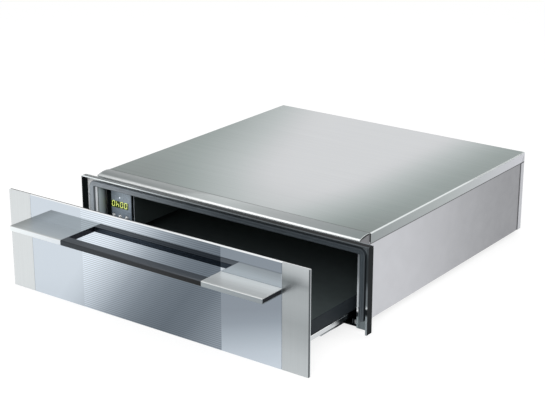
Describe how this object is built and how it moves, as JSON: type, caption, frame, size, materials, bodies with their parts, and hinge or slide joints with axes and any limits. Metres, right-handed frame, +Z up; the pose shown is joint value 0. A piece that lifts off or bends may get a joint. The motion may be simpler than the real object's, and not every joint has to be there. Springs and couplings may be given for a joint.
{
  "type": "built in warming drawer",
  "caption": "Built in warming drawer, pulled part way out of its steel body, with a flat mirrored front, a slim bar handle and a control unit inside.",
  "frame": {"origin": "centre of the base pan's flat underside, the face that the appliance stands on", "axes": "+X to the right as seen from the front, +Y towards the back, +Z up"},
  "size_m": [0.597, 0.7815, 0.169],
  "materials": {
    "cover_steel": "satin",
    "zinc_sheet": "matte",
    "frame_steel": "polished",
    "black_trim": "satin",
    "seal_rubber": "matte",
    "bright_pin": "polished",
    "post_steel": "satin",
    "lining_dark": "satin",
    "zinc_inner": "matte",
    "pad_fibre": "matte",
    "housing_black": "satin",
    "fascia_grey": "satin",
    "display_dark": "gloss",
    "board": "matte",
    "lamp_white": "gloss",
    "button_white": "satin",
    "heater_tube": "matte",
    "motor_steel": "satin",
    "fan_aluminium": "satin",
    "ceramic_white": "matte",
    "connection_plastic": "matte",
    "gland_plastic": "matte",
    "rail_zinc": "gloss",
    "cage_steel": "satin",
    "stop_plastic": "satin",
    "screw_zinc": "satin",
    "tray_dark": "satin",
    "mat_rubber": "matte",
    "inner_dark": "satin",
    "backplate_steel": "matte",
    "magnet_black": "matte",
    "mirror_glass": "polished",
    "strip_steel": "brushed",
    "shelf_steel": "polished",
    "insert_black": "gloss",
    "bar_dark": "satin"
  },
  "bodies": {
    "cabinet": {"top_cover": "cover_steel", "side_panel_left": "zinc_sheet", "side_panel_right": "zinc_sheet", "back_panel": "zinc_sheet", "base_pan": "zinc_sheet", "front_frame": "frame_steel", "shroud_strip_left": "black_trim", "shroud_strip_right": "black_trim", "door_gasket": "seal_rubber", "gasket_pins": "bright_pin", "corner_post_left": "post_steel", "corner_post_right": "post_steel", "cavity_roof": "lining_dark", "cavity_partition": "lining_dark", "cavity_back": "lining_dark", "fan_housing": "zinc_inner", "door_switch": "zinc_inner", "insulation_pad": "pad_fibre", "control_housing": "housing_black", "control_fascia": "fascia_grey", "display_module": "display_dark", "circuit_board": "board", "indicator_led": "lamp_white", "heating_element": "heater_tube", "fan_motor": "motor_steel", "thermostat": "ceramic_white", "terminal_block": "connection_plastic", "cable_gland": "gland_plastic", "cabinet_rail_left": "rail_zinc", "cabinet_rail_right": "rail_zinc", "rail_stops": "stop_plastic", "cabinet_screws": "screw_zinc"},
    "drawer": {"drawer_tray": "tray_dark", "anti_slip_mat": "mat_rubber", "inner_front": "inner_dark", "switch_magnet": "magnet_black", "front_backplate": "backplate_steel", "front_glass": "mirror_glass", "front_strip_left": "strip_steel", "front_strip_right": "strip_steel", "handle_shelf_left": "shelf_steel", "handle_shelf_right": "shelf_steel", "handle_insert_left": "insert_black", "handle_insert_right": "insert_black", "handle_bar": "bar_dark", "handle_screws": "screw_zinc", "drawer_screws": "screw_zinc", "drawer_rail_left": "rail_zinc", "drawer_rail_right": "rail_zinc"},
    "left_middle_rail": {"middle_rail_left": "rail_zinc"},
    "left_lower_cage": {"lower_cage_left": "cage_steel"},
    "left_upper_cage": {"upper_cage_left": "cage_steel"},
    "right_middle_rail": {"middle_rail_right": "rail_zinc"},
    "right_lower_cage": {"lower_cage_right": "cage_steel"},
    "right_upper_cage": {"upper_cage_right": "cage_steel"},
    "impeller": {"fan_impeller": "fan_aluminium"},
    "key_1": {"button_1": "button_white"},
    "key_2": {"button_2": "button_white"},
    "key_3": {"button_3": "button_white"}
  },
  "joints": [
    {"name": "drawer_slide", "type": "slide", "parent": "cabinet", "child": "drawer", "axis": [0, -1, 0], "range_m": [-0.158, 0.242]},
    {"name": "left_middle_rail_slide", "type": "slide", "parent": "cabinet", "child": "left_middle_rail", "axis": [0, -1, 0], "range_m": [-0.079, 0.121]},
    {"name": "left_lower_cage_slide", "type": "slide", "parent": "cabinet", "child": "left_lower_cage", "axis": [0, -1, 0], "range_m": [-0.0395, 0.0605]},
    {"name": "left_upper_cage_slide", "type": "slide", "parent": "cabinet", "child": "left_upper_cage", "axis": [0, -1, 0], "range_m": [-0.1185, 0.1815]},
    {"name": "right_middle_rail_slide", "type": "slide", "parent": "cabinet", "child": "right_middle_rail", "axis": [0, -1, 0], "range_m": [-0.079, 0.121]},
    {"name": "right_lower_cage_slide", "type": "slide", "parent": "cabinet", "child": "right_lower_cage", "axis": [0, -1, 0], "range_m": [-0.0395, 0.0605]},
    {"name": "right_upper_cage_slide", "type": "slide", "parent": "cabinet", "child": "right_upper_cage", "axis": [0, -1, 0], "range_m": [-0.1185, 0.1815]},
    {"name": "impeller_spin", "type": "hinge", "parent": "cabinet", "child": "impeller", "pos_m": [0.04, 0.2, 0.0985], "axis": [0, 1, 0], "continuous": true},
    {"name": "key_1_press", "type": "slide", "parent": "cabinet", "child": "key_1", "axis": [0, 1, 0], "range_m": [0, 0.001], "stiffness_N_per_m": 1000},
    {"name": "key_2_press", "type": "slide", "parent": "cabinet", "child": "key_2", "axis": [0, 1, 0], "range_m": [0, 0.001], "stiffness_N_per_m": 1000},
    {"name": "key_3_press", "type": "slide", "parent": "cabinet", "child": "key_3", "axis": [0, 1, 0], "range_m": [0, 0.001], "stiffness_N_per_m": 1000}
  ],
  "couplings": [
    {"joint": "left_middle_rail_slide", "follows": "drawer_slide", "ratio": 0.5},
    {"joint": "left_lower_cage_slide", "follows": "drawer_slide", "ratio": 0.25},
    {"joint": "left_upper_cage_slide", "follows": "drawer_slide", "ratio": 0.75},
    {"joint": "right_middle_rail_slide", "follows": "drawer_slide", "ratio": 0.5},
    {"joint": "right_lower_cage_slide", "follows": "drawer_slide", "ratio": 0.25},
    {"joint": "right_upper_cage_slide", "follows": "drawer_slide", "ratio": 0.75}
  ]
}
